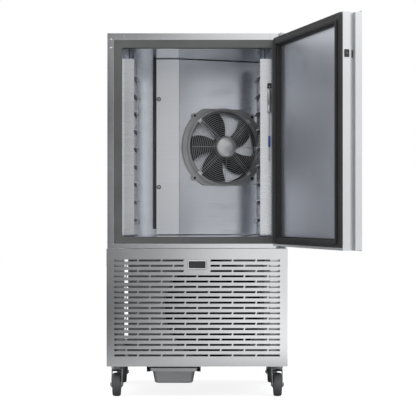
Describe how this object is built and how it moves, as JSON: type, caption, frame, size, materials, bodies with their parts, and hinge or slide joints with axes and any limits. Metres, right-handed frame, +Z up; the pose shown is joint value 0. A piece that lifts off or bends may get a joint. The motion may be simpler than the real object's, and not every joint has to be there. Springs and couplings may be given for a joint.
{
  "type": "blast chiller",
  "caption": "Reach-in blast chiller on casters: foamed steel cabinet with tray racks, angled fan cover, hinged door with grip channel, slotted machine bay below and a slide-out condensate tray",
  "frame": {"origin": "on the floor, under the middle of the bounding box with the door open as in the picture", "axes": "+Z up, -Y out of the front of the cabinet, +X to the right as seen from the front, the hinge side of the door"},
  "size_m": [0.9848, 1.3948, 1.54],
  "materials": {
    "brushed_steel": "brushed stainless",
    "liner_steel": "brushed stainless, slightly blue",
    "zinc_steel": "zinc plated",
    "foam": "expanded foam",
    "grey_plastic": "moulded, satin",
    "dark_plastic": "moulded, satin",
    "black_plastic": "moulded, satin",
    "blue_plastic": "smooth",
    "fan_grey": "moulded, satin",
    "fan_black": "moulded, satin",
    "wire": "drawn wire",
    "fins": "mill",
    "black_metal": "painted, satin",
    "copper": "drawn copper tube",
    "panel_glass": "gloss black",
    "seal": "soft matt",
    "wheel_rubber": "grey non-marking"
  },
  "bodies": {
    "cabinet": {"outer_casing": "brushed_steel", "insulation_foam": "foam", "inner_liner": "liner_steel", "breaker_frame": "grey_plastic", "rack_left": "liner_steel", "rack_right": "liner_steel", "evaporator_cover": "liner_steel", "coil_end_plate": "black_metal", "evaporator_coil": "fins", "evaporator_fan_frame": "fan_grey", "evaporator_fan_guard": "wire", "evaporator_fan_motor": "fan_grey", "temperature_probe": "wire", "probe_sleeve": "blue_plastic", "probe_clip": "black_plastic", "hinge_bracket_upper": "zinc_steel", "hinge_bracket_lower": "zinc_steel", "front_grille": "brushed_steel", "badge_plate": "black_metal", "base_pan": "zinc_steel", "side_panel_left": "brushed_steel", "side_panel_right": "brushed_steel", "rear_panel": "zinc_steel", "condenser_shroud": "zinc_steel", "condenser_fan_motor": "black_metal", "condenser_coil": "fins", "compressor": "black_metal", "liquid_receiver": "black_metal", "electrical_box": "zinc_steel", "discharge_pipe": "copper", "liquid_pipe": "copper", "suction_pipe": "copper", "tray_rail_left": "zinc_steel", "tray_rail_right": "zinc_steel", "front_left_caster_plate": "zinc_steel", "front_right_caster_plate": "zinc_steel", "rear_left_caster_plate": "zinc_steel", "rear_right_caster_plate": "zinc_steel"},
    "door": {"door_skin": "brushed_steel", "door_foam": "foam", "door_inner_panel": "liner_steel", "door_ring": "dark_plastic", "door_gasket": "seal", "door_edge_port": "black_plastic", "control_panel": "panel_glass", "door_bush_upper": "dark_plastic", "door_bush_lower": "dark_plastic"},
    "evaporator_fan": {"evaporator_fan_rotor": "fan_black"},
    "condenser_fan": {"condenser_fan_rotor": "fan_black"},
    "tray": {"drip_tray": "liner_steel"},
    "front_left_swivel": {"front_left_caster_fork": "zinc_steel"},
    "front_left_roller": {"front_left_caster_wheel": "wheel_rubber"},
    "front_left_pedal": {"front_left_brake_pedal": "black_plastic"},
    "front_right_swivel": {"front_right_caster_fork": "zinc_steel"},
    "front_right_roller": {"front_right_caster_wheel": "wheel_rubber"},
    "front_right_pedal": {"front_right_brake_pedal": "black_plastic"},
    "rear_left_swivel": {"rear_left_caster_fork": "zinc_steel"},
    "rear_left_roller": {"rear_left_caster_wheel": "wheel_rubber"},
    "rear_right_swivel": {"rear_right_caster_fork": "zinc_steel"},
    "rear_right_roller": {"rear_right_caster_wheel": "wheel_rubber"}
  },
  "joints": [
    {"name": "door_hinge", "type": "hinge", "parent": "cabinet", "child": "door", "pos_m": [0.2414, 0.01512, 1.08], "axis": [0, 0, 1], "range_deg": [-106, 3]},
    {"name": "evaporator_fan_spin", "type": "hinge", "parent": "cabinet", "child": "evaporator_fan", "pos_m": [0.00459, 0.51304, 1.0806], "axis": [0.3584, -0.9336, 0], "continuous": true},
    {"name": "condenser_fan_spin", "type": "hinge", "parent": "cabinet", "child": "condenser_fan", "pos_m": [-0.0424, 0.15242, 0.37], "axis": [0, -1, 0], "continuous": true},
    {"name": "drip_tray_slide", "type": "slide", "parent": "cabinet", "child": "tray", "axis": [0, -1, 0], "range_m": [0, 0.2]},
    {"name": "front_left_swivel_joint", "type": "hinge", "parent": "cabinet", "child": "front_left_swivel", "pos_m": [-0.4544, 0.12342, 0.12], "axis": [0, 0, 1], "continuous": true},
    {"name": "front_left_axle", "type": "hinge", "parent": "front_left_swivel", "child": "front_left_roller", "pos_m": [-0.4544, 0.09042, 0.05], "axis": [1, 0, 0], "continuous": true},
    {"name": "front_left_brake", "type": "hinge", "parent": "front_left_swivel", "child": "front_left_pedal", "pos_m": [-0.4544, 0.11142, 0.1072], "axis": [1, 0, 0], "range_deg": [0, 14]},
    {"name": "front_right_swivel_joint", "type": "hinge", "parent": "cabinet", "child": "front_right_swivel", "pos_m": [0.2296, 0.12342, 0.12], "axis": [0, 0, 1], "continuous": true},
    {"name": "front_right_axle", "type": "hinge", "parent": "front_right_swivel", "child": "front_right_roller", "pos_m": [0.2296, 0.09042, 0.05], "axis": [1, 0, 0], "continuous": true},
    {"name": "front_right_brake", "type": "hinge", "parent": "front_right_swivel", "child": "front_right_pedal", "pos_m": [0.2296, 0.11142, 0.1072], "axis": [1, 0, 0], "range_deg": [0, 14]},
    {"name": "rear_left_swivel_joint", "type": "hinge", "parent": "cabinet", "child": "rear_left_swivel", "pos_m": [-0.4544, 0.57442, 0.12], "axis": [0, 0, 1], "continuous": true},
    {"name": "rear_left_axle", "type": "hinge", "parent": "rear_left_swivel", "child": "rear_left_roller", "pos_m": [-0.4544, 0.54142, 0.05], "axis": [1, 0, 0], "continuous": true},
    {"name": "rear_right_swivel_joint", "type": "hinge", "parent": "cabinet", "child": "rear_right_swivel", "pos_m": [0.2296, 0.57442, 0.12], "axis": [0, 0, 1], "continuous": true},
    {"name": "rear_right_axle", "type": "hinge", "parent": "rear_right_swivel", "child": "rear_right_roller", "pos_m": [0.2296, 0.54142, 0.05], "axis": [1, 0, 0], "continuous": true}
  ]
}
